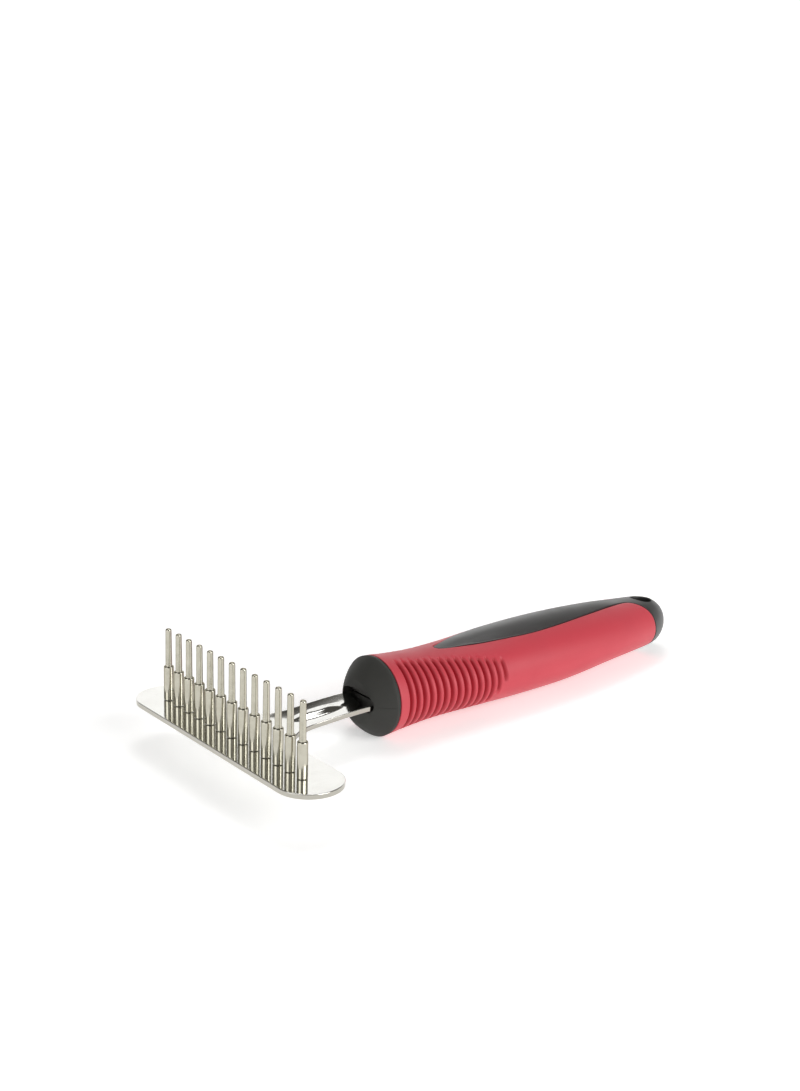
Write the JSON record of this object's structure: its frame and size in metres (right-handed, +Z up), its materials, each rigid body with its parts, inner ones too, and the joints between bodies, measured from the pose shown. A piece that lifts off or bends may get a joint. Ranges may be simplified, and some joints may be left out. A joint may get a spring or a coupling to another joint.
{
  "type": "dematting comb",
  "caption": "Hand comb for matted coats: a flat steel head with a row of upright stepped pins that turn, on a flat neck in a red and black soft-grip handle with a hang hole.",
  "frame": {"origin": "bottom centre of the comb's box as it rests on a table, on its collar and the belly of its handle, pins up", "axes": "+X runs along the handle from the head to the tail, +Y across the head, +Z up; the pins lean a few degrees towards the head's front edge, because the comb rests nose down by that much"},
  "size_m": [0.1892, 0.0958, 0.0369],
  "materials": {
    "plated_sheet": "bright plated, polished",
    "pin_steel": "bright plated, turned",
    "black_collar": "matt moulded",
    "black_core": "satin moulded",
    "red_soft_grip": "satin soft-touch, fine matt"
  },
  "bodies": {
    "handle": {"head_plate": "plated_sheet", "front_collar": "black_collar", "handle_core": "black_core", "grip_sleeve": "red_soft_grip", "tang_pin_front": "pin_steel", "tang_pin_rear": "pin_steel"},
    "pin_01_body": {"pin_01": "pin_steel"},
    "pin_02_body": {"pin_02": "pin_steel"},
    "pin_03_body": {"pin_03": "pin_steel"},
    "pin_04_body": {"pin_04": "pin_steel"},
    "pin_05_body": {"pin_05": "pin_steel"},
    "pin_06_body": {"pin_06": "pin_steel"},
    "pin_07_body": {"pin_07": "pin_steel"},
    "pin_08_body": {"pin_08": "pin_steel"},
    "pin_09_body": {"pin_09": "pin_steel"},
    "pin_10_body": {"pin_10": "pin_steel"},
    "pin_11_body": {"pin_11": "pin_steel"},
    "pin_12_body": {"pin_12": "pin_steel"},
    "pin_13_body": {"pin_13": "pin_steel"}
  },
  "joints": [
    {"name": "pin_01_turn", "type": "hinge", "parent": "handle", "child": "pin_01_body", "pos_m": [-0.08523, 0.036, 0.01391], "axis": [0.0503, 0, 0.9987], "continuous": true},
    {"name": "pin_02_turn", "type": "hinge", "parent": "handle", "child": "pin_02_body", "pos_m": [-0.08523, 0.03, 0.01391], "axis": [0.0503, 0, 0.9987], "continuous": true},
    {"name": "pin_03_turn", "type": "hinge", "parent": "handle", "child": "pin_03_body", "pos_m": [-0.08523, 0.024, 0.01391], "axis": [0.0503, 0, 0.9987], "continuous": true},
    {"name": "pin_04_turn", "type": "hinge", "parent": "handle", "child": "pin_04_body", "pos_m": [-0.08523, 0.018, 0.01391], "axis": [0.0503, 0, 0.9987], "continuous": true},
    {"name": "pin_05_turn", "type": "hinge", "parent": "handle", "child": "pin_05_body", "pos_m": [-0.08523, 0.012, 0.01391], "axis": [0.0503, 0, 0.9987], "continuous": true},
    {"name": "pin_06_turn", "type": "hinge", "parent": "handle", "child": "pin_06_body", "pos_m": [-0.08523, 0.006, 0.01391], "axis": [0.0503, 0, 0.9987], "continuous": true},
    {"name": "pin_07_turn", "type": "hinge", "parent": "handle", "child": "pin_07_body", "pos_m": [-0.08523, 0, 0.01391], "axis": [0.0503, 0, 0.9987], "continuous": true},
    {"name": "pin_08_turn", "type": "hinge", "parent": "handle", "child": "pin_08_body", "pos_m": [-0.08523, -0.006, 0.01391], "axis": [0.0503, 0, 0.9987], "continuous": true},
    {"name": "pin_09_turn", "type": "hinge", "parent": "handle", "child": "pin_09_body", "pos_m": [-0.08523, -0.012, 0.01391], "axis": [0.0503, 0, 0.9987], "continuous": true},
    {"name": "pin_10_turn", "type": "hinge", "parent": "handle", "child": "pin_10_body", "pos_m": [-0.08523, -0.018, 0.01391], "axis": [0.0503, 0, 0.9987], "continuous": true},
    {"name": "pin_11_turn", "type": "hinge", "parent": "handle", "child": "pin_11_body", "pos_m": [-0.08523, -0.024, 0.01391], "axis": [0.0503, 0, 0.9987], "continuous": true},
    {"name": "pin_12_turn", "type": "hinge", "parent": "handle", "child": "pin_12_body", "pos_m": [-0.08523, -0.03, 0.01391], "axis": [0.0503, 0, 0.9987], "continuous": true},
    {"name": "pin_13_turn", "type": "hinge", "parent": "handle", "child": "pin_13_body", "pos_m": [-0.08523, -0.036, 0.01391], "axis": [0.0503, 0, 0.9987], "continuous": true}
  ]
}
